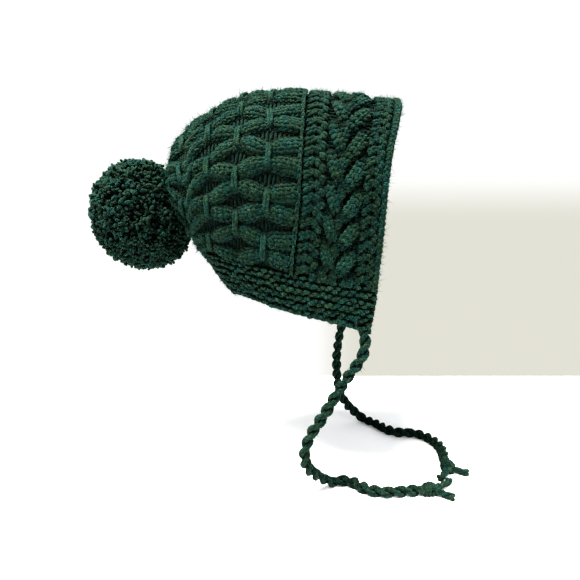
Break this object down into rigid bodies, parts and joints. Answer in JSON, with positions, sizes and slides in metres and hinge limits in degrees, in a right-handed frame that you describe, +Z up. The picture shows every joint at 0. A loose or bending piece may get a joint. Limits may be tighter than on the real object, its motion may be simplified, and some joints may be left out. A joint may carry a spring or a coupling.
{
  "type": "hand-knit bonnet with pompom and tie cords",
  "caption": "Hand-knit wool bonnet with a smocked crown, a cable band round the face, a garter-stitch neck band, a pompom at the back and twisted tie cords.",
  "frame": {"origin": "the seat: the point inside the crown that rests on the top of the head", "axes": "+X to the face, +Y to the wearer's left, +Z up"},
  "size_m": [0.3165, 0.1655, 0.3183],
  "materials": {
    "crown_knit": "heathered dark green wool, ribs drawn together by wraps",
    "band_knit": "heathered dark green wool, cable knit",
    "chain_yarn": "heathered dark green wool chain stitch",
    "garter_knit": "heathered dark green wool, garter stitch",
    "pompom_yarn": "cut dark green wool yarn ends",
    "cord_yarn": "dark green wool twisted into a two-ply cord"
  },
  "bodies": {
    "root": {"crown": "crown_knit", "cable_band": "band_knit", "join_chain": "chain_yarn", "neck_band": "garter_knit", "pompom": "pompom_yarn", "tie_right": "cord_yarn", "tie_left": "cord_yarn", "tie_knot_right": "cord_yarn", "tie_knot_left": "cord_yarn"}
  },
  "joints": []
}
